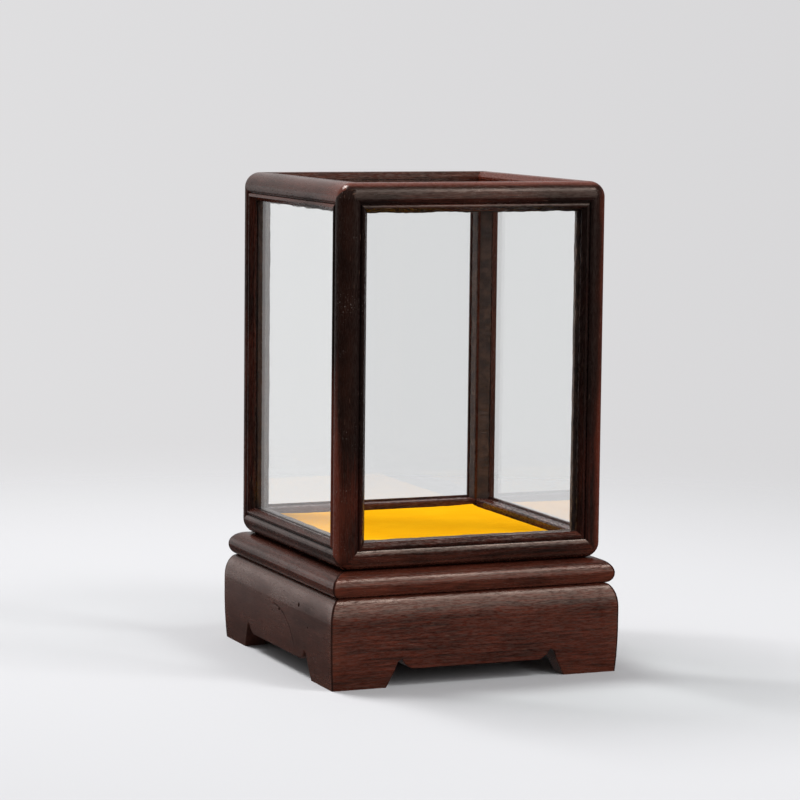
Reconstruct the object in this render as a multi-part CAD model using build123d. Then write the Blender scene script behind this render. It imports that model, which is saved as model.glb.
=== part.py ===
from build123d import *
import os

# Glass hood on a rosewood stand, for showing one small collectable such as a thimble.
# Millimetres. Origin: centre of the square footprint, on the surface it stands on.
# +Z is up and -Y is the front. The case has the same plan on all four sides.

# ---- Stand: mitred aprons with bracket feet ----
STAND_WIDTH = 89.2          # over the apron faces
APRON_HEIGHT = 25.8
APRON_THICKNESS = 7.0
SHOULDER_INSET = 3.3        # rounded upper edge of the apron, across
SHOULDER_HEIGHT = 7.0       # and down
FOOT_TAPER_HEIGHT = 14.0    # below this the apron face curves in towards the floor
FOOT_TAPER = 0.6
FOOT_LENGTH = 17.0          # along the floor, from the corner
FOOT_SLANT = 2.5            # the foot's inner edge leans out by this much at the cut-out's edge
CUTOUT_HEIGHT = 5.0         # clear height under the middle of the apron
NOTCH_SIDE = (0.6, 1.7)     # steep side of the notch: run and rise
NOTCH_CROWN = (1.5, 1.2)    # rounded top of the notch: run and rise
NOTCH_COVE = 3.4            # run of the hollow curve that falls back to the cut-out's edge
NOTCH_COVE_DEPTH = 0.5      # how far that curve is hollowed from a straight line
CUTOUT_EASE = 0.3           # sanded outer edge of the cut-out

# ---- Stand: bullnose cornice and deck panel ----
CORNICE_HEIGHT = 7.0
CORNICE_TIP = 43.7          # centre of the case to the outermost line of the cornice
CORNICE_TIP_RISE = 3.0      # that line's height above the cornice's underside
CORNICE_UNDERCUT = 2.35     # the underside is this much narrower than the tip
CORNICE_ROUND = 5.0         # width of the upper rounding
CORNICE_INNER = 33.7        # centre to the cornice's inner edge
DECK_TONGUE = 2.2           # thickness of the deck panel's tongue
DECK_TONGUE_RISE = 3.4      # underside of the cornice to the underside of the tongue
DECK_TONGUE_REACH = 2.8     # tongue past the inner edge of the cornice
DECK_GROOVE_SPARE = 0.4     # room for the panel to move in its groove
DECK_RISE = 2.5             # deck above the cornice: it centres the hood
DECK_LEAD_IN = 0.5          # chamfer round the top of the deck
HOOD_CLEARANCE = 0.4        # deck to the inside of the hood, each side

# ---- Stand: hidden joinery ----
GLUE_BLOCK_LEG = 10.0
GLUE_BLOCK_LIFT = 1.0       # blocks stop short of the floor
APRON_SPLINE = (1.4, 4.4, 12.0)     # across the corner, along the joint, height
APRON_SPLINE_DEPTH = 4.8            # outer corner to the spline, along X and Y
APRON_SPLINE_FOOT = 10.0            # height of the spline's lower end
CORNICE_SPLINE = (6.0, 5.0, 1.6)
CORNICE_SPLINE_CENTRE = 37.9
CORNICE_SPLINE_RISE = 1.4           # height of its middle above the cornice's underside

# ---- Hood: twelve moulded frame members ----
HOOD_WIDTH = 82.4
HOOD_HEIGHT = 108.9
MEMBER = 7.65               # square section of every frame member, without its beads
EDGE_ROUND = 4.5            # outer edges, with ball corners
FACE_WIDTH = 5.8            # plain moulded face, from the outer edge to the quirk
FACE_ROLL = 0.5             # the face rolls in by this much before it drops into the quirk
QUIRK_DEPTH = 1.0
QUIRK_WIDTH = 0.15
BEAD_RISE = 1.1             # width of the glazing bead's rounded side, next to the quirk
BEAD_CREST = 0.1            # depth of the bead's crest behind the face
BEAD_REACH = 0.5            # the bead's edge stands this far past the member's inner side
BEAD_FALL = 1.4             # from its crest the bead is chamfered in towards the glass
INNER_EASE = 0.4            # softened inner edge of a member
GLASS_GROOVE_START = 2.2    # depth of the groove's outer wall from the hood's face
GLASS_GROOVE_END = 3.8
GLASS_GROOVE_DEPTH = 1.0    # from the bead's edge

# ---- Hood: glass and hidden tenons ----
GLASS_THICKNESS = 1.5
GLASS_CLEARANCE = 0.2       # pane edge to the bottom of its groove
TENON_SIZE = 1.4
TENON_START = 2.2           # from the hood's outer face
TENON_LENGTH = 7.8
TENON_DEPTH = 2.6           # centre line behind the hood's face
TENON_LEVEL_X = 4.1         # centre line below the hood's top, tenons along X
TENON_LEVEL_Y = 5.9         # and tenons along Y

# ---- Pad ----
PAD_HALF = 33.1
PAD_HEIGHT = 3.6
PAD_BOARD_THICKNESS = 1.0
PAD_CLOTH_THICKNESS = 0.8   # cloth and wadding at the board's edge

# ---- worked out from the above ----
STAND_HALF = STAND_WIDTH / 2
APRON_INNER = STAND_HALF - APRON_THICKNESS
STAND_TOP = APRON_HEIGHT + CORNICE_HEIGHT
DECK_TOP = STAND_TOP + DECK_RISE
DECK_UNDERSIDE = APRON_HEIGHT + DECK_TONGUE_RISE
HOOD_HALF = HOOD_WIDTH / 2
DECK_HALF = HOOD_HALF - MEMBER - HOOD_CLEARANCE
HOOD_TOP = STAND_TOP + HOOD_HEIGHT
BEAD_EDGE = MEMBER + BEAD_REACH
PANE_HALF = HOOD_HALF - BEAD_EDGE + GLASS_GROOVE_DEPTH - GLASS_CLEARANCE
PANE_BACK = HOOD_HALF - GLASS_GROOVE_END
MITRE = 45.0
SIDES = ("front", "right", "rear", "left")
CORNERS = ("front_left", "front_right", "rear_right", "rear_left")


def write(node, shape):
    """Write one node's solids to its own file."""
    shape.label = node
    export_step(shape, f"parts/{node}.step")


def keep_below(solid, origin, normal):
    """Cut a solid with a plane and keep the side that the normal points away from."""
    return split(solid, bisect_by=Plane(origin=origin, z_dir=normal), keep=Keep.BOTTOM)


def quarter_turns(solid, names):
    """The same piece on the four sides or corners of the square plan."""
    return {name: Rot(0, 0, 90 * turn) * solid for turn, name in enumerate(names)}


def box_between(low, high):
    """A box from its lowest to its highest corner."""
    size = [b - a for a, b in zip(low, high)]
    middle = [(a + b) / 2 for a, b in zip(low, high)]
    return Pos(*middle) * Box(*size)


# ---------------------------------------------------------------- stand: aprons
# The section is drawn outwards and up: first number outwards from the centre, second up.
def front_length(section, half_length):
    """Run an (outwards, up) section along the front of the case, then mitre both ends."""
    right_end = Plane(origin=(half_length, 0, 0), x_dir=(0, -1, 0), z_dir=(-1, 0, 0))
    length = extrude(right_end * section, amount=2 * half_length)
    length = keep_below(length, (0, 0, 0), (-1, 1, 0))
    return keep_below(length, (0, 0, 0), (1, 1, 0))


def apron_section():
    shoulder_foot = APRON_HEIGHT - SHOULDER_HEIGHT
    with BuildSketch() as section:
        with BuildLine():
            Line((APRON_INNER, 0), (APRON_INNER, APRON_HEIGHT))
            Line((APRON_INNER, APRON_HEIGHT), (STAND_HALF - SHOULDER_INSET, APRON_HEIGHT))
            shoulder_centre = (STAND_HALF - SHOULDER_INSET, shoulder_foot)
            EllipticalCenterArc(shoulder_centre, SHOULDER_INSET, SHOULDER_HEIGHT, start_angle=0)
            Line((STAND_HALF, shoulder_foot), (STAND_HALF, FOOT_TAPER_HEIGHT))
            TangentArc((STAND_HALF, FOOT_TAPER_HEIGHT), (STAND_HALF - FOOT_TAPER, 0), tangent=(0, -1))
            Line((STAND_HALF - FOOT_TAPER, 0), (APRON_INNER, 0))
        make_face()
    return section.sketch


def cutout():
    """The space between two feet: a low flat middle with a small notch beside each foot."""
    foot_end = STAND_HALF - FOOT_LENGTH
    foot_top = (foot_end - FOOT_SLANT, CUTOUT_HEIGHT)
    side_top = (foot_top[0] - NOTCH_SIDE[0], foot_top[1] + NOTCH_SIDE[1])
    crown = (side_top[0] - NOTCH_CROWN[0], side_top[1] + NOTCH_CROWN[1])
    cove_end = (crown[0] - NOTCH_COVE, CUTOUT_HEIGHT)
    with BuildSketch(Plane.XZ) as outline:
        with BuildLine():
            Line((0, 0), (foot_end, 0))
            Line((foot_end, 0), foot_top)
            Line(foot_top, side_top)
            TangentArc(side_top, crown, tangent=(-NOTCH_SIDE[0], NOTCH_SIDE[1]))
            SagittaArc(crown, cove_end, NOTCH_COVE_DEPTH)
            Line(cove_end, (0, CUTOUT_HEIGHT))
            Line((0, CUTOUT_HEIGHT), (0, 0))
        make_face()
        mirror(about=Plane.YZ)
    return extrude(outline.sketch, amount=STAND_WIDTH, both=True)


def apron_splines():
    """Loose splines across the apron mitres."""
    across, along, height = APRON_SPLINE
    centre = STAND_HALF - APRON_SPLINE_DEPTH
    spline = Rot(0, 0, MITRE) * Box(across, along, height)
    first = Pos(-centre, -centre, APRON_SPLINE_FOOT + height / 2) * spline
    return Compound(list(quarter_turns(first, CORNERS).values()))


def eased_cutout(apron):
    """Sand the edge where the cut-out meets the apron's outer face."""
    foot_end = STAND_HALF - FOOT_LENGTH
    notch_top = CUTOUT_HEIGHT + NOTCH_SIDE[1] + NOTCH_CROWN[1]
    outer_edges = []
    for edge in apron.edges():
        middle = edge @ 0.5
        on_outer_face = middle.Y < 2 * FOOT_TAPER - STAND_HALF
        if on_outer_face and abs(middle.X) < foot_end and middle.Z < notch_top:
            outer_edges.append(edge)
    return fillet(outer_edges, CUTOUT_EASE)


aprons_joint = apron_splines()
front_apron = eased_cutout(front_length(apron_section(), STAND_HALF) - cutout())
aprons = quarter_turns(front_apron, SIDES)

glue_block_end = APRON_INNER - GLUE_BLOCK_LEG
glue_block_outline = make_face(
    Polyline(
        (-APRON_INNER, -APRON_INNER),
        (-glue_block_end, -APRON_INNER),
        (-APRON_INNER, -glue_block_end),
        close=True,
    )
)
glue_block = Pos(0, 0, GLUE_BLOCK_LIFT) * extrude(glue_block_outline, amount=APRON_HEIGHT - GLUE_BLOCK_LIFT)


# ---------------------------------------------------------------- stand: cornice and deck
def cornice_section():
    tip_height = APRON_HEIGHT + CORNICE_TIP_RISE
    underside = CORNICE_TIP - CORNICE_UNDERCUT
    flat_top = CORNICE_TIP - CORNICE_ROUND
    groove_back = CORNICE_INNER + DECK_TONGUE_REACH + DECK_GROOVE_SPARE
    groove_top = DECK_UNDERSIDE + DECK_TONGUE
    with BuildSketch() as section:
        with BuildLine():
            Line((CORNICE_INNER, APRON_HEIGHT), (underside, APRON_HEIGHT))
            EllipticalCenterArc((underside, tip_height), CORNICE_UNDERCUT, CORNICE_TIP_RISE, start_angle=-90)
            EllipticalCenterArc((flat_top, tip_height), CORNICE_ROUND, STAND_TOP - tip_height, start_angle=0)
            Polyline(
                (flat_top, STAND_TOP),
                (CORNICE_INNER, STAND_TOP),
                (CORNICE_INNER, groove_top),
                (groove_back, groove_top),
                (groove_back, DECK_UNDERSIDE),
                (CORNICE_INNER, DECK_UNDERSIDE),
                (CORNICE_INNER, APRON_HEIGHT),
            )
        make_face()
    return section.sketch


def cornice_splines():
    """Flat loose splines across the cornice mitres."""
    spline = Rot(0, 0, MITRE) * Box(*CORNICE_SPLINE)
    height = APRON_HEIGHT + CORNICE_SPLINE_RISE
    first = Pos(-CORNICE_SPLINE_CENTRE, -CORNICE_SPLINE_CENTRE, height) * spline
    return Compound(list(quarter_turns(first, CORNERS).values()))


def deck():
    """Raised panel: its tongue is held by the cornice and its field centres the hood."""
    tongue_half = CORNICE_INNER + DECK_TONGUE_REACH
    field = box_between((-DECK_HALF, -DECK_HALF, DECK_UNDERSIDE), (DECK_HALF, DECK_HALF, DECK_TOP))
    field = chamfer(field.edges().group_by(Axis.Z)[-1], DECK_LEAD_IN)
    tongue = box_between(
        (-tongue_half, -tongue_half, DECK_UNDERSIDE),
        (tongue_half, tongue_half, DECK_UNDERSIDE + DECK_TONGUE),
    )
    return field + tongue


cornice_joint = cornice_splines()
cornices = quarter_turns(front_length(cornice_section(), STAND_HALF), SIDES)


# ---------------------------------------------------------------- hood: frame members
# The section is drawn from the member's outer corner. Its first number runs across the moulded
# face and its second runs in from that face. The outer corner is left square here and is
# rounded when the member is trimmed to the hood's rounded block.
def moulded_half():
    """Half of a member's section: the moulded face and the glass groove behind its bead."""
    face_start = (EDGE_ROUND, 0)
    face_end = (FACE_WIDTH, FACE_ROLL)
    bead_start = (FACE_WIDTH + QUIRK_WIDTH, QUIRK_DEPTH)
    bead_crest = (bead_start[0] + BEAD_RISE, BEAD_CREST)
    bead_end = (BEAD_EDGE, BEAD_CREST + BEAD_FALL)
    groove_floor = BEAD_EDGE - GLASS_GROOVE_DEPTH
    with BuildSketch() as half:
        with BuildLine():
            Line((0, 0), face_start)
            TangentArc(face_start, face_end, tangent=(1, 0))
            Polyline(face_end, (FACE_WIDTH, QUIRK_DEPTH), bead_start)
            TangentArc(bead_start, bead_crest, tangent=(0, -1))
            Polyline(
                bead_crest,
                bead_end,
                (BEAD_EDGE, GLASS_GROOVE_START),
                (groove_floor, GLASS_GROOVE_START),
                (groove_floor, GLASS_GROOVE_END),
                (MEMBER, GLASS_GROOVE_END),
                (MEMBER, MEMBER - INNER_EASE),
                (MEMBER - INNER_EASE / 2, MEMBER - INNER_EASE / 2),
                (0, 0),
            )
        make_face()
    return half.sketch


def plain_half():
    """The other half of a bottom rail's section: flat underneath, flat inside."""
    return make_face(
        Polyline(
            (0, 0),
            (MEMBER - INNER_EASE / 2, MEMBER - INNER_EASE / 2),
            (MEMBER - INNER_EASE, MEMBER),
            (0, MEMBER),
            close=True,
        )
    )


def diagonal_mirror(shape):
    return mirror(shape, Plane(origin=(0, 0, 0), z_dir=(1, -1, 0)))


half_section = moulded_half()
two_face_section = half_section + diagonal_mirror(half_section)
one_face_section = half_section + plain_half()

hood_block = Pos(0, 0, STAND_TOP + HOOD_HEIGHT / 2) * Box(HOOD_WIDTH, HOOD_WIDTH, HOOD_HEIGHT)
hood_block = fillet(hood_block.edges(), EDGE_ROUND)


def front_left_post():
    """Upright, mitred three ways with the rails at both ends."""
    corner = Plane(origin=(-HOOD_HALF, -HOOD_HALF, STAND_TOP))
    post = extrude(corner * two_face_section, amount=HOOD_HEIGHT)
    for across in ((1, 0), (0, 1)):
        post = keep_below(post, (-HOOD_HALF, -HOOD_HALF, HOOD_TOP), (*across, 1))
        post = keep_below(post, (-HOOD_HALF, -HOOD_HALF, STAND_TOP), (*across, -1))
    return post & hood_block


def front_rail(section, edge_height, up):
    """Rail along the front: its moulding starts at the hood's top or bottom edge.

    up is +1 for a top rail, whose section runs down from the edge, and -1 for a bottom rail.
    """
    end = Plane(origin=(-HOOD_HALF, -HOOD_HALF, edge_height), x_dir=(0, 0, -up), z_dir=(up, 0, 0))
    rail = extrude(end * section, amount=up * HOOD_WIDTH)
    for side in (-1, 1):
        corner = (side * HOOD_HALF, -HOOD_HALF, edge_height)
        rail = keep_below(rail, corner, (side, 1, 0))
        rail = keep_below(rail, corner, (side, 0, -up))
    return rail & hood_block


def tenon(centre, along_x):
    size = (TENON_LENGTH, TENON_SIZE, TENON_SIZE) if along_x else (TENON_SIZE, TENON_LENGTH, TENON_SIZE)
    return Pos(*centre) * Box(*size)


def corner_tenons():
    """Two loose tenons in each of the eight mitred corners, one for each rail."""
    reach = HOOD_HALF - TENON_START - TENON_LENGTH / 2
    depth = HOOD_HALF - TENON_DEPTH
    tenons = []
    for level_x, level_y in (
        (HOOD_TOP - TENON_LEVEL_X, HOOD_TOP - TENON_LEVEL_Y),
        (STAND_TOP + TENON_LEVEL_X, STAND_TOP + TENON_LEVEL_Y),
    ):
        for side_x in (-1, 1):
            for side_y in (-1, 1):
                tenons.append(tenon((side_x * reach, side_y * depth, level_x), True))
                tenons.append(tenon((side_x * depth, side_y * reach, level_y), False))
    return Compound(tenons)


hood_joint = corner_tenons()
posts = quarter_turns(front_left_post(), CORNERS)
top_rails = quarter_turns(front_rail(two_face_section, HOOD_TOP, 1), SIDES)
bottom_rails = quarter_turns(front_rail(one_face_section, STAND_TOP, -1), SIDES)

# ---------------------------------------------------------------- hood: glass
pane_foot = STAND_TOP + BEAD_EDGE - GLASS_GROOVE_DEPTH
pane_head = HOOD_TOP - BEAD_EDGE + GLASS_GROOVE_DEPTH - GLASS_CLEARANCE
front_pane = box_between(
    (-PANE_HALF, -PANE_BACK - GLASS_THICKNESS, pane_foot),
    (PANE_HALF, -PANE_BACK, pane_head),
)
top_pane_underside = HOOD_TOP - GLASS_GROOVE_END
top_pane = box_between(
    (-PANE_HALF, -PANE_HALF, top_pane_underside),
    (PANE_HALF, PANE_HALF, top_pane_underside + GLASS_THICKNESS),
)

# ---------------------------------------------------------------- pad
board_half = PAD_HALF - PAD_CLOTH_THICKNESS
board_top = DECK_TOP + PAD_BOARD_THICKNESS
pad_top = DECK_TOP + PAD_HEIGHT
pad_board = box_between((-board_half, -board_half, DECK_TOP), (board_half, board_half, board_top))
pad_cloth = box_between((-PAD_HALF, -PAD_HALF, DECK_TOP), (PAD_HALF, PAD_HALF, pad_top)) - pad_board

# ---------------------------------------------------------------- one file for each node
os.makedirs("parts", exist_ok=True)
for side in SIDES:
    write(f"apron_{side}", aprons[side] - aprons_joint)
    write(f"cornice_rail_{side}", cornices[side] - cornice_joint)
    write(f"hood_top_rail_{side}", top_rails[side] - hood_joint)
    write(f"hood_bottom_rail_{side}", bottom_rails[side] - hood_joint)
for corner, post in posts.items():
    write(f"hood_post_{corner}", post - hood_joint)
for corner, block in quarter_turns(glue_block, CORNERS).items():
    write(f"glue_block_{corner}", block)
for side, pane in quarter_turns(front_pane, SIDES).items():
    write(f"glass_pane_{side}", pane)
write("glass_pane_top", top_pane)
write("apron_splines", aprons_joint)
write("cornice_splines", cornice_joint)
write("hood_corner_tenons", hood_joint)
write("deck_panel", deck())
write("pad_board", pad_board)
write("pad_cloth", pad_cloth)
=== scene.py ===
import math

import bmesh
import bpy
from mathutils import Matrix, Vector, noise


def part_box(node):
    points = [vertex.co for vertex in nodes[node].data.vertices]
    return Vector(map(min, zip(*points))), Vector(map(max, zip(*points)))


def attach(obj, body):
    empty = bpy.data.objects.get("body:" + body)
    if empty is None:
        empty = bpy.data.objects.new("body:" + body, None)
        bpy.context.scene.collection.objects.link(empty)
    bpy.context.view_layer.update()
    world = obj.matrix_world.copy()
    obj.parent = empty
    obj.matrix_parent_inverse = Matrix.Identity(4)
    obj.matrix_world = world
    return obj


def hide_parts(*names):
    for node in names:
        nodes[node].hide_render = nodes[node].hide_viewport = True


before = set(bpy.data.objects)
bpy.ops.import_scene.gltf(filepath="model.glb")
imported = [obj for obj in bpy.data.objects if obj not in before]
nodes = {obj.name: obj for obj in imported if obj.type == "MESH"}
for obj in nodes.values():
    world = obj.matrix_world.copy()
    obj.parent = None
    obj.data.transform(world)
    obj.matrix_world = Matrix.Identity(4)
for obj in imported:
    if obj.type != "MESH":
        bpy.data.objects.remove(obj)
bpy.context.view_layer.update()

# Dressing for a small square display case: a lift-off glass hood framed in rosewood, a
# rosewood stand with bracket feet, and a loose yellow cloth pad. Metres, +Z up, front -Y.
MM = 0.001
SIDES = ("front", "right", "rear", "left")
CORNERS = ("front_left", "front_right", "rear_right", "rear_left")


# ---------------------------------------------------------------- stand
# The stand is made of waxed rosewood: four aprons with bracket feet, a bullnose cornice and a
# raised deck panel. Each board is planed from its own billet, so each has its own figure, and
# its grain runs along its length. The boards are glued at the mitres and rubbed with dark wax.
IN_MILLIMETRES = (1000, 1000, 1000)     # a place in metres times this is in mm
BROWN_WOOD = (0.080, 0.026, 0.017, 1)
RED_WOOD = (0.105, 0.018, 0.0085, 1)
# Pale red painted on lit top edges and edge roundings: painted light, not a colour of the wood.
PAINTED_LIGHT_RED = (0.12, 0.030, 0.019, 1)
DARK_HEARTWOOD = (0.0105, 0.0050, 0.0042, 1)
OPEN_PORE = (0.008, 0.005, 0.004, 1)
FILLED_PORE = (0.17, 0.095, 0.066, 1)
WORN_WOOD = (0.16, 0.055, 0.032, 1)
LINT = (0.50, 0.44, 0.40, 1)
CRACK = (0.005, 0.003, 0.003, 1)
WAX_TINT = (1.0, 0.80, 0.68, 1)
GRAIN_RELIEF = 0.07 * MM


def add(tree, kind, sources=None, **settings):
    """One shader node. sources gives its inputs, by name or number, a value or another output."""
    node = tree.nodes.new("ShaderNode" + kind)
    for name, value in settings.items():
        setattr(node, name, value)
    for name, value in (sources or {}).items():
        if isinstance(value, bpy.types.NodeSocket):
            tree.links.new(value, node.inputs[name])
        else:
            node.inputs[name].default_value = value
    return node


def calc(tree, operation, *values):
    return add(tree, "Math", dict(enumerate(values)), operation=operation).outputs[0]


def vector_calc(tree, operation, *values):
    return add(tree, "VectorMath", dict(enumerate(values)), operation=operation).outputs[0]


def ramp(tree, value, start, end, low=0.0, high=1.0):
    """Smooth step of a value between two limits, to the range low to high."""
    sources = {"Value": value, "From Min": start, "From Max": end, "To Min": low, "To Max": high}
    return add(tree, "MapRange", sources, interpolation_type="SMOOTHSTEP").outputs["Result"]


def scale(tree, value, factor):
    return calc(tree, "MULTIPLY", value, factor)


def off_middle(tree, value):
    """How far a noise is from its mean."""
    return calc(tree, "SUBTRACT", value, 0.5)


def mix_colour(tree, factor, first, second, mode="MIX"):
    sources = {0: factor, 6: first, 7: second}
    return add(tree, "Mix", sources, data_type="RGBA", blend_type=mode).outputs[2]


def grey(tree, value):
    return add(tree, "CombineColor", {"Red": value, "Green": value, "Blue": value}).outputs[0]


def fractal(tree, vector, frequency, detail, roughness=0.55):
    sources = {"Vector": vector, "Scale": frequency, "Detail": detail, "Roughness": roughness}
    return add(tree, "TexNoise", sources).outputs["Fac"]


def new_group(name, inputs, outputs):
    """A shader node group with named sockets. Returns it and its inside input and output sockets."""
    group = bpy.data.node_groups.new(name, "ShaderNodeTree")
    for direction, sockets in (("INPUT", inputs), ("OUTPUT", outputs)):
        for label, kind in sockets.items():
            group.interface.new_socket(label, in_out=direction, socket_type="NodeSocket" + kind)
    return group, group.nodes.new("NodeGroupInput").outputs, group.nodes.new("NodeGroupOutput").inputs


def put_group(tree, group, sources):
    return add(tree, "Group", sources, node_tree=group).outputs


def figure_group():
    """Rosewood's figure, with the grain along Z: dark heartwood bands, streaks, fibres and pores."""
    shares = {name: "Float" for name in ("Heartwood", "Redness", "Painted lit edge", "Streaks")}
    group, given, result = new_group(
        "Rosewood figure",
        {"Vector": "Vector", **shares},
        {"Colour": "Color", "Roughness": "Float", "Wax": "Float", "Height": "Float"},
    )
    millimetres = vector_calc(group, "MULTIPLY", given["Vector"], IN_MILLIMETRES)
    slow = vector_calc(group, "MULTIPLY", millimetres, (1, 1, 0.35))
    drift = add(group, "TexNoise", {"Vector": slow, "Scale": 0.05, "Detail": 2.0}).outputs["Color"]
    drift = vector_calc(group, "SUBTRACT", drift, (0.5, 0.5, 0.5))
    drift = vector_calc(group, "MULTIPLY", drift, (4.0, 4.0, 0.0))
    wandering = vector_calc(group, "ADD", millimetres, drift)

    def drawn_out(share):
        """The place, squeezed along the grain, so that a pattern is drawn out 1 / share times."""
        return vector_calc(group, "MULTIPLY", wandering, (1, 1, share))

    def pore_mask(share, frequency, solid, gone):
        cells = add(group, "TexVoronoi", {"Vector": drawn_out(share), "Scale": frequency})
        return ramp(group, cells.outputs["Distance"], solid, gone, 1.0, 0.0)

    radius = add(group, "VectorMath", {0: drawn_out(0)}, operation="LENGTH").outputs["Value"]
    rings = add(group, "TexNoise", {"W": radius, "Scale": 0.9, "Detail": 6.0, "Roughness": 0.68},
                noise_dimensions="1D").outputs["Fac"]
    streaks = fractal(group, drawn_out(0.045), 2.2, 4.0, 0.62)
    patches = fractal(group, drawn_out(0.30), 0.12, 3.0, 0.55)
    fibres = fractal(group, drawn_out(0.06), 2.6, 4.0, 0.7)
    flecks = fractal(group, drawn_out(0.16), 3.2, 2.0, 0.6)
    pores = pore_mask(0.09, 2.4, 0.10, 0.22)
    filled_pores = scale(group, pore_mask(0.11, 1.3, 0.08, 0.17), ramp(group, patches, 0.48, 0.62))

    lines_mean = 0.45
    lines = calc(group, "ADD", scale(group, rings, 0.40), scale(group, streaks, 0.50))
    lines = scale(group, calc(group, "SUBTRACT", lines, lines_mean), given["Streaks"])
    lines = calc(group, "ADD", lines, lines_mean)
    dark_band = calc(group, "ADD", lines, scale(group, patches, 0.45))
    dark_band = calc(group, "ADD", dark_band, scale(group, given["Heartwood"], 0.42))
    # Painted light: the dark bands thin out where the pale red of the lit edges is painted in.
    dark_band = calc(group, "SUBTRACT", dark_band, scale(group, given["Painted lit edge"], 0.35))
    darkness = ramp(group, dark_band, 0.64, 1.04)
    mottle = scale(group, off_middle(group, patches), 1.6)
    redness = {0: given["Redness"], 1: mottle}
    red_share = add(group, "Math", redness, operation="ADD", use_clamp=True).outputs[0]
    colour = mix_colour(group, red_share, BROWN_WOOD, RED_WOOD)
    # Painted light: a pale red painted on the lit top edges and edge roundings, as a painted highlight.
    colour = mix_colour(group, given["Painted lit edge"], colour, PAINTED_LIGHT_RED)
    colour = mix_colour(group, darkness, colour, DARK_HEARTWOOD)
    fibre_shade = scale(group, off_middle(group, fibres), given["Streaks"])
    fibre_shade = ramp(group, fibre_shade, -0.24, 0.24, 0.52, 1.50)
    colour = mix_colour(group, 1.0, colour, grey(group, fibre_shade), "MULTIPLY")
    colour = mix_colour(group, scale(group, pores, 0.55), colour, OPEN_PORE)
    colour = mix_colour(group, scale(group, filled_pores, 0.55), colour, FILLED_PORE)
    group.links.new(colour, result["Colour"])

    flecks = scale(group, off_middle(group, flecks), given["Streaks"])
    gloss = scale(group, off_middle(group, patches), 0.35)
    roughness = calc(group, "ADD", ramp(group, flecks, -0.2, 0.2, 0.22, 0.42), gloss)
    roughness = calc(group, "ADD", roughness, scale(group, pores, 0.18))
    group.links.new(roughness, result["Roughness"])
    group.links.new(ramp(group, flecks, -0.16, 0.16, 0.22, 0.80), result["Wax"])
    relief = calc(group, "ADD", scale(group, fibres, 0.5), flecks)
    relief = calc(group, "SUBTRACT", relief, scale(group, pores, 0.6))
    group.links.new(relief, result["Height"])
    return group


def handling_group():
    """Where hands rub a box: how near a point is to the box's edges and to its corners."""
    group, given, result = new_group(
        "Handled edges",
        {"Vector": "Vector", "Middle": "Vector", "Half size": "Vector"},
        {"Edge": "Float", "Corner": "Float"},
    )
    centred = vector_calc(group, "SUBTRACT", given["Vector"], given["Middle"])
    depth = vector_calc(group, "SUBTRACT", given["Half size"], vector_calc(group, "ABSOLUTE", centred))
    depth = vector_calc(group, "MULTIPLY", depth, IN_MILLIMETRES)
    parts = add(group, "SeparateXYZ", {0: depth}).outputs
    total = calc(group, "ADD", calc(group, "ADD", parts[0], parts[1]), parts[2])
    deepest = calc(group, "MAXIMUM", calc(group, "MAXIMUM", parts[0], parts[1]), parts[2])
    patches = fractal(group, given["Vector"], 160.0, 4.0, 0.6)
    near_edge = ramp(group, calc(group, "SUBTRACT", total, deepest), 0.5, 5.5, 1.0, 0.0)
    edge = scale(group, near_edge, ramp(group, patches, 0.3, 0.65, 0.35, 1.0))
    group.links.new(edge, result["Edge"])
    group.links.new(ramp(group, total, 4.0, 11.0, 1.0, 0.0), result["Corner"])
    return group


def dust_group():
    """Fine pale lint and rub marks, as thin flecks that lie along the grain."""
    group, given, result = new_group(
        "Dust and rubs", {"Vector": "Vector", "Amount": "Float"}, {"Mask": "Float"})
    flecks = fractal(group, given["Vector"], 2600.0, 2.0, 0.5)
    clumps = fractal(group, given["Vector"], 90.0, 3.0, 0.6)
    flecks = ramp(group, flecks, 0.64, 0.74)
    mask = scale(group, flecks, ramp(group, clumps, 0.45, 0.70))
    group.links.new(scale(group, mask, given["Amount"]), result["Mask"])
    return group


def mitre_group():
    """The dark line of wax and glue at the mitred corners of a square ring of boards."""
    group, given, result = new_group("Mitre line", {"Vector": "Vector"}, {"Mask": "Float"})
    parts = add(group, "SeparateXYZ", {0: vector_calc(group, "ABSOLUTE", given["Vector"])}).outputs
    away = calc(group, "ABSOLUTE", calc(group, "SUBTRACT", parts["X"], parts["Y"]))
    group.links.new(ramp(group, away, 0.15 * MM, 0.60 * MM, 0.9, 0.0), result["Mask"])
    return group


rosewood_figure = figure_group()
handled_edges = handling_group()
dust_and_rubs = dust_group()
mitre_lines = mitre_group()
GRAIN_TURNS = {"X": (0, -math.pi / 2, 0), "Y": (math.pi / 2, 0, 0), "Z": (0, 0, 0)}


def new_material(name):
    """An empty material. Returns it with its node tree and output node."""
    material = bpy.data.materials.new(name)
    material.use_nodes = True
    material.node_tree.nodes.clear()
    return material, material.node_tree, add(material.node_tree, "OutputMaterial")


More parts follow.
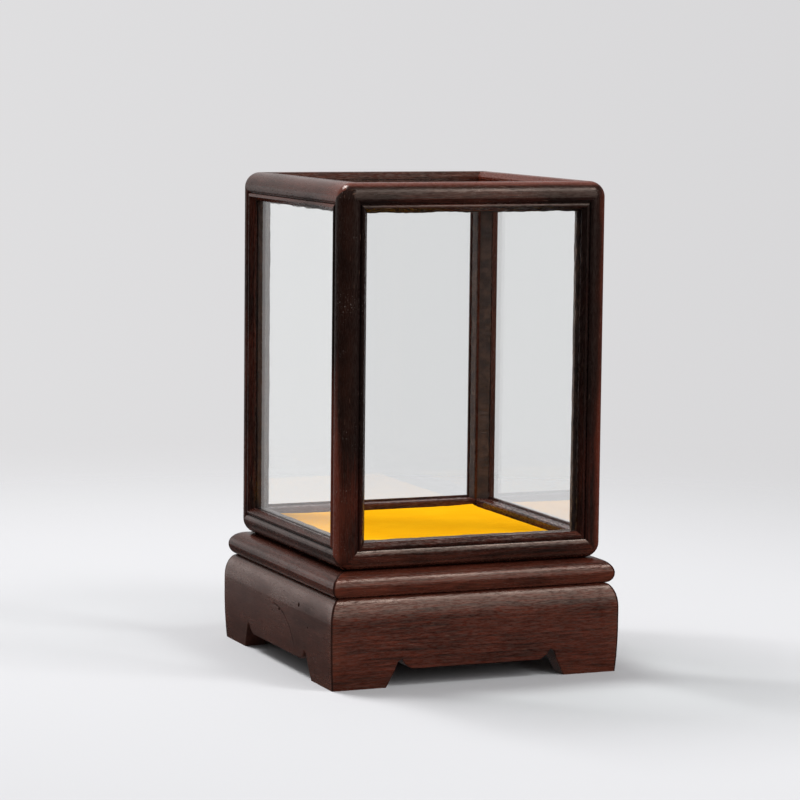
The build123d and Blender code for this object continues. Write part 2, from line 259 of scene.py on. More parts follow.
def rosewood(name, grain, handled, billet, heartwood, redness, dust=0.0, streaks=1.0, polish=0.0,
             wax=1.38, lit_edge_paint=None, flaws=None):
    """Waxed rosewood for one board. grain is the axis that its grain runs along.

    handled is the middle and half size of the block whose edges hands rub. billet is where in the
    log the board was cut, in mm across and along. heartwood is its share of dark wood, at its foot
    and head. streaks is how strongly its figure shows, and dust how much lint lies on it. polish
    is taken off its roughness. wax is the index of refraction of its skin of wax. lit_edge_paint
    is an axis and the two places along it, in mm, between which a pale red begins: painted light
    on a lit top edge or edge rounding, not a colour of the wood. flaws turns
    the board's place into a mask of small dark marks.
    """
    material, tree, output = new_material(name)
    place = add(tree, "TexCoord").outputs["Object"]
    location = [offset * MM for offset in billet]
    sources = {"Vector": place, "Rotation": GRAIN_TURNS[grain], "Location": location}
    board = add(tree, "Mapping", sources).outputs["Vector"]
    middle, half_size = handled
    parts = add(tree, "SeparateXYZ", {0: place}).outputs
    foot = middle.z - half_size.z * 0.7
    head = middle.z + half_size.z * 0.3
    lit_edge_share = 0.0
    # A pale red is painted between two places along one axis, as painted light on a lit edge.
    if lit_edge_paint:
        axis, start, end = lit_edge_paint
        lit_edge_share = ramp(tree, parts[axis], start * MM, end * MM)
    figure = put_group(tree, rosewood_figure, {
        "Vector": board, "Heartwood": ramp(tree, parts["Z"], foot, head, *heartwood),
        "Redness": redness, "Painted lit edge": lit_edge_share, "Streaks": streaks,
    })
    rub = put_group(tree, handled_edges, {"Vector": place, "Middle": middle, "Half size": half_size})
    specks = put_group(tree, dust_and_rubs, {"Vector": board, "Amount": dust})["Mask"]

    colour = mix_colour(tree, scale(tree, rub["Edge"], 0.18), figure["Colour"], WORN_WOOD)
    colour = mix_colour(tree, scale(tree, specks, 0.5), colour, LINT)
    rubbed = calc(tree, "ADD", scale(tree, rub["Edge"], 0.05), scale(tree, rub["Corner"], 0.08))
    roughness = calc(tree, "SUBTRACT", figure["Roughness"], calc(tree, "ADD", rubbed, polish))
    roughness = calc(tree, "ADD", roughness, scale(tree, specks, 0.4))
    height = figure["Height"]
    shine = figure["Wax"]
    if flaws:
        mark = flaws(tree, place)
        colour = mix_colour(tree, scale(tree, mark, 0.85), colour, CRACK)
        roughness = calc(tree, "ADD", roughness, scale(tree, mark, 0.6))
        height = calc(tree, "SUBTRACT", height, scale(tree, mark, 3.0))
        shine = scale(tree, shine, calc(tree, "SUBTRACT", 1.0, mark))
    bump = add(tree, "Bump", {"Height": height, "Strength": 0.5, "Distance": GRAIN_RELIEF})
    waxed = add(tree, "BsdfPrincipled", {
        "Base Color": colour, "Roughness": roughness, "Normal": bump.outputs[0], "IOR": wax,
        "Specular Tint": WAX_TINT, "Specular IOR Level": shine,
    })
    tree.links.new(waxed.outputs[0], output.inputs[0])
    return material


def mitre_line(tree, place):
    return put_group(tree, mitre_lines, {"Vector": place})["Mask"]


KNOTS = ((-18.8, 20.4, 0.80), (-3.0, 16.6, 0.65), (-26.0, 15.0, 0.40))      # Y, Z and radius in mm
GROWTH_LINE = (1.0, -1.3, 18.66)    # Y and Z of its centre, and its radius, in mm
LINE_START = (-16, -14)             # it fades in between these places along Y, in mm
LINE_END = (0, 4)                   # and out between these


def knots_and_line(tree, place):
    """The mitre lines, pin knots and a thin curved growth line in the left apron's face."""
    parts = add(tree, "SeparateXYZ", {0: place}).outputs
    wobble = scale(tree, off_middle(tree, fractal(tree, place, 500.0, 2.0)), 0.8 * MM)

    def distance_from(y, z):
        """A point's distance in the face from one at Y and Z, in mm, made a little uneven."""
        away = add(tree, "CombineXYZ", {
            "X": calc(tree, "SUBTRACT", parts["Y"], y * MM),
            "Y": calc(tree, "SUBTRACT", parts["Z"], z * MM),
        })
        distance = add(tree, "VectorMath", {0: away.outputs[0]}, operation="LENGTH").outputs["Value"]
        return calc(tree, "ADD", distance, wobble)

    marks = mitre_line(tree, place)
    for y, z, radius in KNOTS:
        knot = ramp(tree, distance_from(y, z), radius * 0.5 * MM, radius * MM, 1.0, 0.0)
        marks = calc(tree, "MAXIMUM", marks, knot)
    y, z, radius = GROWTH_LINE
    off_line = calc(tree, "ABSOLUTE", calc(tree, "SUBTRACT", distance_from(y, z), radius * MM))
    line = ramp(tree, off_line, 0.10 * MM, 0.45 * MM, 0.45, 0.0)
    fade_in = ramp(tree, parts["Y"], LINE_START[0] * MM, LINE_START[1] * MM)
    fade_out = ramp(tree, parts["Y"], LINE_END[0] * MM, LINE_END[1] * MM, 1.0, 0.0)
    line = scale(tree, scale(tree, line, fade_in), fade_out)
    return calc(tree, "MAXIMUM", marks, line)


def dress(name, material):
    """Give a carried-over piece its finish."""
    for place in nodes[name].material_slots:
        place.material = material


def middle_and_half(low, high):
    return (Vector(low) + Vector(high)) / 2, (Vector(high) - Vector(low)) / 2


def square_block(name):
    """The middle and half size of the square ring of pieces whose front one is given."""
    low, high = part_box(name)
    reach = abs(low.y)
    return middle_and_half((-reach, -reach, low.z), (reach, reach, high.z))


def grain_of(side):
    return "X" if side in ("front", "rear") else "Y"


APRON_BOARDS = {
    "front": {"billet": (62, 20, 30), "redness": 0.60, "flaws": mitre_line},
    "right": {"billet": (80, -35, 110), "redness": 0.60, "flaws": mitre_line},
    "rear": {"billet": (45, 60, 190), "redness": 0.60, "flaws": mitre_line},
    "left": {"billet": (95, 15, 260), "redness": 0.15, "streaks": 0.35, "flaws": knots_and_line},
}
CORNICE_BOARDS = {
    "front": {"billet": (20, 70, 340), "heartwood": (0.30, 0.30), "wax": 1.36},
    "right": {"billet": (35, -60, 400), "heartwood": (0.30, 0.30), "wax": 1.36},
    "rear": {"billet": (50, 80, 480), "heartwood": (0.30, 0.30), "wax": 1.36},
    "left": {"billet": (15, 90, 560), "heartwood": (0.50, 0.50), "wax": 1.26, "streaks": 0.5},
}
apron_block = square_block("apron_front")
cornice_block = square_block("cornice_rail_front")
for side in SIDES:
    dress(f"apron_{side}", rosewood(
        f"apron_{side}_rosewood", grain_of(side), apron_block, heartwood=(0.30, 0.30), wax=1.47,
        **APRON_BOARDS[side]))
    dress(f"cornice_rail_{side}", rosewood(
        f"cornice_{side}_rosewood", grain_of(side), cornice_block, redness=0.70, polish=0.06,
        flaws=mitre_line, **CORNICE_BOARDS[side]))
deck_block = middle_and_half(*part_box("deck_panel"))
dress("deck_panel", rosewood("deck_rosewood", "X", deck_block, (110, -20, 640), (0.35, 0.35), 0.35))


# ---------------------------------------------------------------- hidden joinery
# Glue blocks behind the apron corners, splines in the mitres and loose tenons in the hood's
# corners are plain sawn hardwood. They are glued in place and take no stain or wax.
PALE_BAND = (0.36, 0.21, 0.12, 1)
DARK_BAND = (0.24, 0.13, 0.07, 1)
DARK_FIBRE = (0.16, 0.08, 0.045, 1)
SAWN_RELIEF = 0.1 * MM


def sawn_grain_group():
    """The figure of sawn hardwood, with the grain along Z: bands, fibres and saw marks."""
    group, given, result = new_group(
        "Sawn hardwood grain",
        {"Vector": "Vector"},
        {"Colour": "Color", "Roughness": "Float", "Height": "Float"},
    )
    board = given["Vector"]
    fibres = fractal(group, vector_calc(group, "MULTIPLY", board, (1, 1, 0.05)), 2200.0, 4.0, 0.6)
    bands = fractal(group, vector_calc(group, "MULTIPLY", board, (1, 1, 0.08)), 320.0, 3.0, 0.6)
    saw_marks = add(group, "TexWave", {"Vector": board, "Scale": 260.0, "Distortion": 3.0},
                    bands_direction="Z").outputs["Fac"]
    colour = mix_colour(group, bands, PALE_BAND, DARK_BAND)
    colour = mix_colour(group, ramp(group, fibres, 0.3, 0.7, 0.0, 0.5), colour, DARK_FIBRE)
    group.links.new(colour, result["Colour"])
    group.links.new(ramp(group, fibres, 0.3, 0.7, 0.62, 0.8), result["Roughness"])
    group.links.new(calc(group, "ADD", fibres, scale(group, saw_marks, 0.5)), result["Height"])
    return group


sawn_grain = sawn_grain_group()


def sawn_hardwood(name, grain):
    material, tree, output = new_material(name)
    place = add(tree, "TexCoord").outputs["Object"]
    board = add(tree, "Mapping", {"Vector": place, "Rotation": GRAIN_TURNS[grain]}).outputs["Vector"]
    figure = put_group(tree, sawn_grain, {"Vector": board})
    bump = add(tree, "Bump", {"Height": figure["Height"], "Strength": 0.5, "Distance": SAWN_RELIEF})
    wood = add(tree, "BsdfPrincipled", {
        "Base Color": figure["Colour"], "Roughness": figure["Roughness"], "Normal": bump.outputs[0],
    })
    tree.links.new(wood.outputs[0], output.inputs[0])
    return material


upright_hardwood = sawn_hardwood("upright_sawn_hardwood", "Z")
flat_hardwood = sawn_hardwood("flat_sawn_hardwood", "X")
for corner in CORNERS:
    dress(f"glue_block_{corner}", upright_hardwood)
dress("apron_splines", upright_hardwood)
for name in ("cornice_splines", "hood_corner_tenons"):
    dress(name, flat_hardwood)


# ---------------------------------------------------------------- pad board
# The pad's stiffener is a square of plain pressed board. It lies loose on the deck panel,
# hidden by the cloth that is wrapped over it and glued underneath.
PULP_DARK = (0.46, 0.35, 0.24, 1)
PULP_PALE = (0.62, 0.50, 0.36, 1)
PULP_RELIEF = 0.08 * MM


def pressed_board():
    material, tree, output = new_material("pressed_board")
    place = add(tree, "TexCoord").outputs["Object"]
    pulp = fractal(tree, place, 1400.0, 5.0, 0.7)
    bump = add(tree, "Bump", {"Height": pulp, "Strength": 0.4, "Distance": PULP_RELIEF})
    board = add(tree, "BsdfPrincipled", {
        "Base Color": mix_colour(tree, ramp(tree, pulp, 0.3, 0.7), PULP_DARK, PULP_PALE),
        "Roughness": ramp(tree, pulp, 0.3, 0.7, 0.75, 0.9),
        "Normal": bump.outputs[0],
    })
    tree.links.new(board.outputs[0], output.inputs[0])
    return material


dress("pad_board", pressed_board())


# ---------------------------------------------------------------- pad cloth
# The pad is amber satin cloth wrapped over thin wadding on the board and glued underneath. It
# has a low crown, its sides pull in a little between the corners, and its cut edge is uneven.
cloth_low, cloth_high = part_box("pad_cloth")
cloth_half = cloth_high.x
bottom_height = cloth_low.z
top_height = cloth_high.z
PAD_CUTS = 63                   # facets along each edge of the top
PAD_SIDE_CUTS = 3               # rings between its top and its underside
PAD_ROUND = 0.9 * MM            # turned edge of the cloth
EDGE_DROP = 0.6 * PAD_ROUND     # how far the turned edge comes down
SIDE_PULL = 0.25 * MM           # how far its sides pull in between the corners
EDGE_WANDER = 0.30 * MM         # unevenness of the wrapped edge
WANDER_FINE = 900.0             # how often the edge wanders, per metre
WANDER_LONG = 260.0
SIM_SCALE = 10.0                # the cloth is inflated at ten times its size, then brought back
PAD_SWELL = 0.35 * MM           # most that the wadding may push the cloth from where it was laid
PAD_PRESSURE = 1.2
PAD_FRAMES = 16
FRAY_BAND = 1.3 * MM            # threads are uneven this far in from the edge
FRAY = 0.50 * MM
FRAY_RISE = 1500.0              # how often the threads rise and pull in, per metre
FRAY_PULL = 1300.0
AT_FACE = 0.1 * MM              # a point nearer than this to the top or underside belongs to it


def new_piece(name, mesh):
    """An object with a bmesh as its mesh. The bmesh is freed."""
    data = bpy.data.meshes.new(name)
    mesh.to_mesh(data)
    mesh.free()
    piece = bpy.data.objects.new(name, data)
    bpy.context.scene.collection.objects.link(piece)
    return piece


def smooth(piece):
    for face in piece.data.polygons:
        face.use_smooth = True


def past_edge(place):
    """How far a point is past the start of the turned edge, as a share of that edge."""
    side = max(abs(place.x), abs(place.y))
    return max(0.0, side - (cloth_half - PAD_ROUND)) / PAD_ROUND


def outer_axes(place, start):
    """The level axes along which a point is further out than start."""
    return [axis for axis in (0, 1) if abs(place[axis]) > start]


def lay_cloth(name):
    """The cloth as it is laid over its board: a closed box whose top edge is turned over."""
    mesh = bmesh.new()
    bmesh.ops.create_grid(mesh, x_segments=PAD_CUTS, y_segments=PAD_CUTS, size=cloth_half)
    rim = [edge for edge in mesh.edges if edge.is_boundary]
    bmesh.ops.translate(mesh, vec=(0, 0, top_height), verts=mesh.verts)
    drop = (top_height - bottom_height) / (PAD_SIDE_CUTS + 1)
    for _ in range(PAD_SIDE_CUTS + 1):
        grown = bmesh.ops.extrude_edge_only(mesh, edges=rim)["geom"]
        lowered = [item for item in grown if isinstance(item, bmesh.types.BMVert)]
        bmesh.ops.translate(mesh, vec=(0, 0, -drop), verts=lowered)
        rim = [item for item in grown if isinstance(item, bmesh.types.BMEdge) and item.is_boundary]
    bmesh.ops.holes_fill(mesh, edges=rim, sides=0)
    bmesh.ops.recalc_face_normals(mesh, faces=mesh.faces)
    for vert in mesh.verts:
        into_edge = past_edge(vert.co)
        if vert.co.z > top_height - AT_FACE:
            vert.co.z -= EDGE_DROP * into_edge**2
        from_middle = min(abs(vert.co.x), abs(vert.co.y)) / cloth_half
        wander = noise.noise(vert.co * WANDER_FINE) + noise.noise(vert.co * WANDER_LONG)
        inward = SIDE_PULL * (1.0 - from_middle**2) + EDGE_WANDER * abs(wander)
        if into_edge > 0 or vert.co.z < top_height - AT_FACE:
            for axis in outer_axes(vert.co, cloth_half - PAD_ROUND):
                vert.co[axis] -= math.copysign(inward, vert.co[axis])
    piece = new_piece(name, mesh)
    smooth(piece)
    return piece


def fill_with_wadding(piece):
    """Inflate the cloth with its underside held, then keep each point near where it was laid."""
    laid = [vert.co.copy() for vert in piece.data.vertices]
    centre = Vector((0, 0, bottom_height))
    grow = Matrix.Translation(centre) @ Matrix.Scale(SIM_SCALE, 4) @ Matrix.Translation(-centre)
    piece.data.transform(grow)
    held = piece.vertex_groups.new(name="held")
    held.add([i for i, co in enumerate(laid) if co.z < bottom_height + AT_FACE], 1.0, "REPLACE")
    cloth = piece.modifiers.new("Wadding", "CLOTH")
    cloth.settings.vertex_group_mass = "held"
    cloth.settings.quality = 6
    cloth.settings.mass = 0.2
    cloth.settings.tension_stiffness = 25
    cloth.settings.compression_stiffness = 10
    cloth.settings.bending_stiffness = 2
    cloth.settings.use_pressure = True
    cloth.settings.uniform_pressure_force = PAD_PRESSURE
    cloth.settings.effector_weights.gravity = 0
    cloth.collision_settings.use_collision = False
    scene = bpy.context.scene
    for moment in range(1, PAD_FRAMES + 1):
        scene.frame_set(moment)
    filled = piece.evaluated_get(bpy.context.evaluated_depsgraph_get())
    shrink = grow.inverted()
    places = [shrink @ vert.co for vert in filled.data.vertices]
    piece.modifiers.remove(cloth)
    scene.frame_set(1)
    for vert, start, end in zip(piece.data.vertices, laid, places):
        shift = end - start
        if shift.length > PAD_SWELL:
            shift *= PAD_SWELL / shift.length
        vert.co = start + shift
        for axis in (0, 1):
            vert.co[axis] = max(-cloth_half, min(cloth_half, vert.co[axis]))


def fray_edge(piece):
    """Cut the rim finer and leave its turned edge uneven, as the threads lie."""
    start = cloth_half - FRAY_BAND

    def in_rim(place):
        return max(abs(place.x), abs(place.y)) > start and place.z > bottom_height + 2 * AT_FACE

    mesh = bmesh.new()
    mesh.from_mesh(piece.data)
    rim = [edge for edge in mesh.edges if all(in_rim(vert.co) for vert in edge.verts)]
    bmesh.ops.subdivide_edges(mesh, edges=rim, cuts=2, use_grid_fill=True)
    for vert in mesh.verts:
        if in_rim(vert.co):
            near = max(abs(vert.co.x), abs(vert.co.y)) - start
            amount = FRAY * min(1.0, near / (0.5 * FRAY_BAND))
            vert.co.z += amount * noise.noise(vert.co * FRAY_RISE)
            for axis in outer_axes(vert.co, start):
                pull = amount * abs(noise.noise(vert.co * FRAY_PULL + Vector((7, 3, axis))))
                vert.co[axis] -= math.copysign(pull, vert.co[axis])
    mesh.to_mesh(piece.data)
    mesh.free()
    smooth(piece)


pad = lay_cloth("pad_cushion")
fill_with_wadding(pad)
fray_edge(pad)

GOLD = (0.94, 0.42, 0.004, 1)
PALE_GOLD = (0.98, 0.46, 0.005, 1)
SHADED_NAP = (0.88, 0.36, 0.004, 1)
CREASE_SHEEN = (1.0, 0.52, 0.012, 1)
WEAVE_RELIEF = 0.06 * MM


def satin_cloth():
    """Amber satin: threads in two directions, long floats one way, with faint slanting crease lines,
    their sheen painted in as a highlight.
    """
    material, tree, output = new_material("amber_satin")
    place = add(tree, "TexCoord").outputs["Object"]
    turn = {"Vector": place, "Rotation": (0, 0, math.radians(3))}
    turned = add(tree, "Mapping", turn).outputs["Vector"]
    threads = add(tree, "TexWave", {"Vector": turned, "Scale": 1100.0, "Distortion": 1.2, "Detail": 2.0},
                  bands_direction="X").outputs["Fac"]
    floats = add(tree, "TexWave", {"Vector": turned, "Scale": 420.0, "Distortion": 2.5, "Detail": 2.0},
                 bands_direction="Y").outputs["Fac"]
    nap = fractal(tree, place, 700.0, 4.0, 0.6)
    tone = fractal(tree, place, 60.0, 3.0, 0.5)
    drawn = {"Vector": place, "Rotation": (0, 0, math.radians(38)), "Scale": (1, 9, 1)}
    crease_relief_and_sheen = fractal(tree, add(tree, "Mapping", drawn).outputs["Vector"], 45.0, 2.0, 0.5)
    crease_relief_and_sheen = ramp(tree, calc(tree, "ABSOLUTE", off_middle(tree, crease_relief_and_sheen)), 0.0, 0.05, 1.0, 0.0)
    colour = mix_colour(tree, ramp(tree, tone, 0.35, 0.65), GOLD, PALE_GOLD)
    colour = mix_colour(tree, ramp(tree, nap, 0.5, 0.75, 0.0, 0.25), colour, SHADED_NAP)
    # Painted sheen: the crease lines are painted a paler gold, as a highlight along them; they also
    # raise the bump.
    colour = mix_colour(tree, scale(tree, crease_relief_and_sheen, 0.30), colour, CREASE_SHEEN)
    weave = calc(tree, "ADD", scale(tree, threads, 0.6), scale(tree, floats, 0.4))
    height = calc(tree, "ADD", weave, scale(tree, nap, 0.8))
    height = calc(tree, "ADD", height, scale(tree, crease_relief_and_sheen, 1.2))
    bump = add(tree, "Bump", {"Height": height, "Strength": 0.4, "Distance": WEAVE_RELIEF})
    cloth = add(tree, "BsdfPrincipled", {
        "Base Color": colour, "Roughness": ramp(tree, weave, 0.2, 0.8, 0.75, 0.88),
        "Normal": bump.outputs[0], "Specular IOR Level": 0.0,
    })
    tree.links.new(cloth.outputs[0], output.inputs[0])
    return material


pad.data.materials.append(satin_cloth())
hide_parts("pad_cloth")
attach(pad, "pad")


# ---------------------------------------------------------------- hood frame
# The hood's frame is twelve rosewood members with a quirk and a small glazing bead, mitred
# three ways and glued at the corners. Its rounded edges are polished by the hands that lift it.
hood_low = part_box("hood_bottom_rail_front")[0]
hood_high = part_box("hood_top_rail_front")[1]
hood_reach = abs(hood_low.y)
hood_block = middle_and_half(
    (-hood_reach, -hood_reach, hood_low.z), (hood_reach, hood_reach, hood_high.z))

# The last column places painted light: an axis and two places in mm between which a pale red is painted
# on a lit top edge or edge rounding.
BOARD_COLUMNS = ("billet", "heartwood", "redness", "dust", "streaks", "wax", "lit_edge_paint")
POST_BOARDS = {
    "front_left": ((30, 50, 20), (0.55, 1.60), 1.00, 1.0, 0.6, 1.27, ("X", -39.6, -41.4)),
    "front_right": ((55, 25, 150), (0.70, 0.90), 1.15, 0.2, 0.5, 1.27, ("X", 37.0, 41.0)),
    "rear_right": ((70, 40, 280), (0.35, 0.30), 0.30, 0.2, 0.7, 1.28, None),
    "rear_left": ((40, 80, 410), (0.55, 0.55), 0.60, 0.2, 0.7, 1.28, None),
}
TOP_RAIL_BOARDS = {
    "front": ((25, 35, 520), (0.65, 0.65), 0.70, 0.5, 0.7, 1.28, ("Z", 140.2, 141.6)),
    "right": ((60, 70, 600), (0.30, 0.30), 0.95, 0.2, 0.4, 1.28, ("Z", 138.5, 141.7)),
    "rear": ((85, 30, 680), (0.45, 0.45), 0.40, 0.2, 1.0, 1.33, None),
    "left": ((35, 65, 760), (0.45, 0.45), 0.60, 0.5, 0.4, 1.30, ("Y", -22.0, -45.0)),
}
BOTTOM_RAIL_BOARDS = {
    "front": ((50, 45, 840), (0.55, 0.55), 0.80, 0.2, 0.8, 1.52, None),
    "right": ((20, 60, 920), (0.45, 0.45), 0.60, 0.2, 1.0, 1.33, None),
    "rear": ((75, 55, 1000), (0.30, 0.30), 0.40, 0.2, 1.0, 1.33, None),
    "left": ((65, 25, 1080), (0.55, 0.55), 0.70, 0.2, 0.4, 1.33, None),
}
for corner, board in POST_BOARDS.items():
    dress(f"hood_post_{corner}", rosewood(
        f"post_{corner}_rosewood", "Z", hood_block, polish=0.04, **dict(zip(BOARD_COLUMNS, board))))
for level, boards in (("top", TOP_RAIL_BOARDS), ("bottom", BOTTOM_RAIL_BOARDS)):
    for side, board in boards.items():
        dress(f"hood_{level}_rail_{side}", rosewood(
            f"{level}_rail_{side}_rosewood", grain_of(side), hood_block, polish=0.06,
            **dict(zip(BOARD_COLUMNS, board))))


# ---------------------------------------------------------------- glass panes
# Five panes of clear float glass stand in grooves behind the beads. The glass is polished, with
# a faint grey-green tint. Lamps shine through it, as through any thin pane.
GLASS_TINT = (0.99, 0.995, 0.992, 1)
LIGHT_THROUGH_PANE = (0.97, 0.98, 0.975, 1)


def clear_glass():
    material, tree, output = new_material("clear_float_glass")
    glass = add(tree, "BsdfPrincipled", {
        "Base Color": GLASS_TINT, "Roughness": 0.0, "IOR": 1.5, "Transmission Weight": 1.0,
    })
    open_pane = add(tree, "BsdfTransparent", {"Color": LIGHT_THROUGH_PANE})
    path = add(tree, "LightPath").outputs
    unseen = calc(tree, "MAXIMUM", path["Is Shadow Ray"], path["Is Diffuse Ray"])
    mixed = add(tree, "MixShader", {0: unseen, 1: glass.outputs[0], 2: open_pane.outputs[0]})
    tree.links.new(mixed.outputs[0], output.inputs[0])
    return material


glass_material = clear_glass()
for side in SIDES + ("top",):
    dress(f"glass_pane_{side}", glass_material)


# ---------------------------------------------------------------- glazing putty
# Dark glazing putty, coloured like the wood, beds each side pane against its posts and rails
# from inside. It was pressed in and smoothed by hand, so it is uneven and its edge on the glass
# wanders. It keeps a hair's breadth off the wood and the glass that it touches.
BEAD_REACH = 0.5 * MM           # beads stand this far past the wood behind the glass
LIP_HALF = BEAD_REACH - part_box("hood_post_front_left")[1].x
LIP_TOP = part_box("hood_top_rail_front")[0].z + BEAD_REACH
LIP_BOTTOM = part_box("hood_bottom_rail_front")[1].z - BEAD_REACH
PUTTY_DEPTH = 3.3 * MM          # how far in from the glass it was spread
PUTTY_STEP = 0.45 * MM          # length of one facet along the strip
PUTTY_THICK = 0.25 * MM         # on the wood
PUTTY_UNEVEN = 0.30 * MM
PUTTY_SWELLS = 0.22             # how often it swells, per mm
PUTTY_LUMPS = 1.1               # how often it has a small lump, per mm
PUTTY_CLEAR = 0.02 * MM         # it stops this short of the wood and glass it touches


def putty_strip(mesh, length, on_glass, seed):
    """One strip along X. Its back lies on wood at Y = 0 and one side stands on glass at Z = 0.

    It reaches on_glass along the glass and thins away from it. It swells towards -Y.
    """
    depth = PUTTY_DEPTH
    first = len(mesh.verts)
    cube = bmesh.ops.create_cube(mesh, size=1.0)["verts"]
    bmesh.ops.scale(mesh, vec=(length, PUTTY_THICK, depth), verts=cube)
    bmesh.ops.translate(mesh, vec=(0, -PUTTY_THICK / 2, -depth / 2), verts=cube)
    long_edges = {e for v in cube for e in v.link_edges if abs(e.calc_length() - length) < 1e-7}
    bmesh.ops.subdivide_edges(mesh, edges=list(long_edges), cuts=int(length / PUTTY_STEP))
    mesh.verts.ensure_lookup_table()
    strip = mesh.verts[first:]
    for vert in strip:
        if vert.co.y < -PUTTY_THICK / 2:
            along = vert.co.x / MM
            near_glass = vert.co.z > -depth / 2
            swell = noise.noise(Vector((along * PUTTY_SWELLS, seed, vert.co.z / MM)))
            lump = noise.noise(Vector((along * PUTTY_LUMPS, vert.co.z / MM, seed)))
            lump = PUTTY_UNEVEN * (swell + 0.45 * lump) * (1.0 if near_glass else 0.5)
            if near_glass:
                lump -= on_glass - PUTTY_THICK
            vert.co.y = min(vert.co.y + lump, -PUTTY_CLEAR)
    return strip


def putty_frame(name, pane, inward, widths, seed):
    """Putty inside one side pane. widths are its reach on the glass, in mm, at the post towards +
    and the one towards -, the top rail and the bottom rail. At 0 it has no strip there.
    """
    low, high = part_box(pane)
    axis = 0 if inward.x else 1
    other = 1 - axis
    glass_face = (low if inward[axis] < 0 else high)[axis]
    mesh = bmesh.new()
    height = LIP_TOP - LIP_BOTTOM
    walls = ((2, other, 1), (2, other, -1), (other, 2, 1), (other, 2, -1))
    for turn, ((run, side, sign), width) in enumerate(zip(walls, widths)):
        if not width:
            continue
        length = height if run == 2 else 2 * LIP_HALF
        for vert in putty_strip(mesh, length - 2 * PUTTY_CLEAR, width * MM, seed + turn * 3.7):
            x, y, z = vert.co
            place = Vector((0, 0, (LIP_TOP + LIP_BOTTOM) / 2))
            place[axis] = glass_face + math.copysign(PUTTY_CLEAR - z, inward[axis])
            wall = LIP_HALF if side != 2 else height / 2
            place[run] += x
            place[side] += sign * (wall - PUTTY_CLEAR + y)
            vert.co = place
    bmesh.ops.recalc_face_normals(mesh, faces=mesh.faces)
    return new_piece(name, mesh)


PUTTY_DARK = (0.024, 0.013, 0.010, 1)
PUTTY_BROWN = (0.060, 0.031, 0.021, 1)
PUTTY_RELIEF = 0.08 * MM


def dark_putty():
    material, tree, output = new_material("dark_glazing_putty")
    place = add(tree, "TexCoord").outputs["Object"]
    grit = fractal(tree, place, 1800.0, 4.0, 0.65)
    smears = fractal(tree, place, 300.0, 3.0, 0.6)
    relief = calc(tree, "ADD", grit, smears)
    bump = add(tree, "Bump", {"Height": relief, "Strength": 0.5, "Distance": PUTTY_RELIEF})
    putty = add(tree, "BsdfPrincipled", {
        "Base Color": mix_colour(tree, ramp(tree, smears, 0.35, 0.7), PUTTY_DARK, PUTTY_BROWN),
        "Roughness": ramp(tree, grit, 0.3, 0.7, 0.5, 0.7),
        "Normal": bump.outputs[0],
        "Specular IOR Level": 0.3,
    })
    tree.links.new(putty.outputs[0], output.inputs[0])
    return material


putty_material = dark_putty()
PUTTY_LINES = {     # the way in from each pane, and the widths along its four edges
    "front": ((0, 1, 0), (1.25, 0.85, 0.80, 0.30)),
    "right": ((-1, 0, 0), (1.05, 0.55, 0.55, 0)),
    "rear": ((0, -1, 0), (0.40, 0.55, 0.55, 0)),
    "left": ((1, 0, 0), (0.80, 0.55, 0.80, 0.80)),
}
for number, (side, (inward, widths)) in enumerate(PUTTY_LINES.items()):
    seed = 11.0 + 17.0 * number
    putty = putty_frame(f"putty_{side}", f"glass_pane_{side}", Vector(inward), widths, seed)
    putty.data.materials.append(putty_material)
    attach(putty, "hood")


# ---------------------------------------------------------------- studio
# A pale floor that fades into a pale backdrop. The room is bright behind and dim in front. A large
# soft panel stands in front to the right with a small lamp above it that glints on the corners.
# Another hangs high behind, and a weak card stands low behind to the left.
FLOOR_RADIUS = 0.55
FLOOR_CLEAR = 0.16              # out to here the floor is solid, then it fades into the backdrop
FLOOR_COLOUR = (0.60, 0.60, 0.615, 1)

floor_mesh = bmesh.new()
bmesh.ops.create_circle(floor_mesh, cap_ends=True, segments=96, radius=FLOOR_RADIUS)
floor = new_piece("floor", floor_mesh)
floor_material, tree, output = new_material("pale_floor")
place = add(tree, "TexCoord").outputs["Object"]
far = add(tree, "VectorMath", {0: place}, operation="LENGTH").outputs["Value"]
# The floor isn't there for a ray that the wood or glass has mirrored, so the panes stay clear.
mirrored = calc(tree, "MINIMUM", add(tree, "LightPath").outputs["Glossy Depth"], 1.0)
fade = calc(tree, "MAXIMUM", ramp(tree, far, FLOOR_CLEAR, FLOOR_RADIUS), mirrored)
matt = add(tree, "BsdfDiffuse", {"Color": FLOOR_COLOUR})
gone = add(tree, "BsdfTransparent")
faded = add(tree, "MixShader", {0: fade, 1: matt.outputs[0], 2: gone.outputs[0]})
tree.links.new(faded.outputs[0], output.inputs[0])
floor.data.materials.append(floor_material)
floor.visible_glossy = False

ROOM_BEHIND = 0.62              # brightness of each part of the room, as the case mirrors it
ROOM_AHEAD = 0.35
ROOM_ABOVE = 0.25
ROOM_DARK = 0.02
FAR_RIGHT = 0.2                 # share of the brightness behind that is left at the far right
LOW_DOWN = 0.08                 # and near the floor
BACKDROP_LEFT = (0.78, 0.775, 0.785, 1)
BACKDROP_RIGHT = (0.66, 0.655, 0.665, 1)
THROUGH_GLASS = (1.13, 1.14, 1.14, 1)   # how much brighter the backdrop is through a pane
MIRRORED_THROUGH_GLASS = 0.80   # share of it for a mirrored ray that leaves through a rear pane

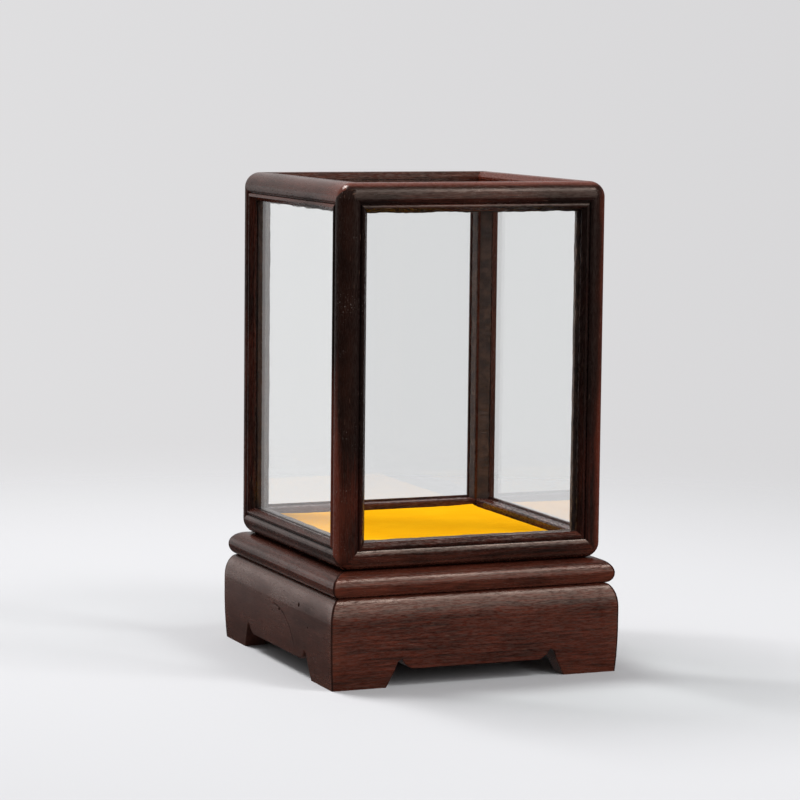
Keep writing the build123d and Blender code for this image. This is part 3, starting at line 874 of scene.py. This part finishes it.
world = bpy.data.worlds.new("studio")
bpy.context.scene.world = world
world.use_nodes = True
tree = world.node_tree
tree.nodes.clear()
direction = add(tree, "SeparateXYZ", {0: add(tree, "TexCoord").outputs["Generated"]}).outputs
behind = calc(tree, "MULTIPLY", ramp(tree, direction["Y"], -0.15, 0.35, 0.0, ROOM_BEHIND),
              ramp(tree, direction["Z"], -0.04, 0.14, LOW_DOWN, 1.0))
behind = calc(tree, "MULTIPLY", behind, ramp(tree, direction["X"], 0.42, 0.75, 1.0, FAR_RIGHT))
ahead = calc(tree, "MULTIPLY", ramp(tree, direction["Y"], -0.45, -0.05, 1.0, 0.0),
             ramp(tree, direction["Z"], 0.03, 0.14, 0.0, ROOM_AHEAD))
above = ramp(tree, direction["Z"], 0.45, 0.95, 0.0, ROOM_ABOVE)
pale = calc(tree, "MAXIMUM", calc(tree, "MAXIMUM", behind, ahead), above)
room = grey(tree, calc(tree, "ADD", pale, ROOM_DARK))
path = add(tree, "LightPath").outputs
straight_through = calc(tree, "LESS_THAN", path["Glossy Depth"], 0.5)
mirrored_behind = ramp(tree, direction["Y"], -0.2, 0.1, 0.0, MIRRORED_THROUGH_GLASS)
through_glass = calc(tree, "MULTIPLY", path["Is Transmission Ray"],
                     calc(tree, "MAXIMUM", straight_through, mirrored_behind))
seen = calc(tree, "MAXIMUM", path["Is Camera Ray"], through_glass)
backdrop = mix_colour(tree, ramp(tree, direction["X"], -0.1, 0.8), BACKDROP_LEFT, BACKDROP_RIGHT)
backdrop = mix_colour(tree, through_glass, backdrop, THROUGH_GLASS, "MULTIPLY")
sky = mix_colour(tree, seen, room, backdrop)
background = add(tree, "Background", {"Color": sky, "Strength": 1.0})
tree.links.new(background.outputs[0], add(tree, "OutputWorld").inputs[0])

LAMP_AIM = Vector((0, 0, 0.06))
LAMPS = {       # place, then width and height, then how bright its face is
    "front_panel": ((0.33, -0.78, 0.47), (0.60, 0.70), 2.3),
    "front_key": ((0.38, -0.43, 0.80), (0.22, 0.22), 17.0),
    "rear_key": ((-0.28, 0.43, 0.92), (0.35, 0.35), 24.0),
    "rear_left_card": ((-0.30, 0.66, 0.055), (0.22, 0.29), 0.70),
}
for name, (place, (width, height), radiance) in LAMPS.items():
    lamp = bpy.data.lights.new(name, "AREA")
    lamp.shape = "RECTANGLE"
    lamp.size = width
    lamp.size_y = height
    lamp.energy = radiance * math.pi * width * height
    holder = bpy.data.objects.new(name, lamp)
    bpy.context.scene.collection.objects.link(holder)
    holder.location = place
    holder.rotation_euler = (LAMP_AIM - Vector(place)).to_track_quat("-Z", "Y").to_euler()
    holder.visible_camera = False
    holder.visible_transmission = False

AZIMUTH = math.radians(-22.722)
ELEVATION = math.radians(6.363)
ROLL = math.radians(0.614)
CAMERA_DISTANCE = 0.9168
AIM_ACROSS = -0.0055
AIM_HEIGHT = 0.0758
LENS = 139.84
SENSOR_WIDTH = 36.0
NEAREST_SEEN = 0.01

camera_data = bpy.data.cameras.new("camera")
camera_data.lens = LENS
camera_data.sensor_width = SENSOR_WIDTH
camera_data.clip_start = NEAREST_SEEN
camera = bpy.data.objects.new("camera", camera_data)
bpy.context.scene.collection.objects.link(camera)
level_back = math.cos(ELEVATION)
back = Vector((math.sin(AZIMUTH) * level_back, -math.cos(AZIMUTH) * level_back, math.sin(ELEVATION)))
aim = Vector((AIM_ACROSS * math.cos(AZIMUTH), AIM_ACROSS * math.sin(AZIMUTH), AIM_HEIGHT))
stand_point = Matrix.Translation(aim + back * CAMERA_DISTANCE)
facing = (-back).to_track_quat("-Z", "Y").to_matrix().to_4x4()
camera.matrix_world = stand_point @ facing @ Matrix.Rotation(ROLL, 4, "Z")
bpy.context.scene.camera = camera
bpy.context.scene.view_settings.view_transform = "Standard"
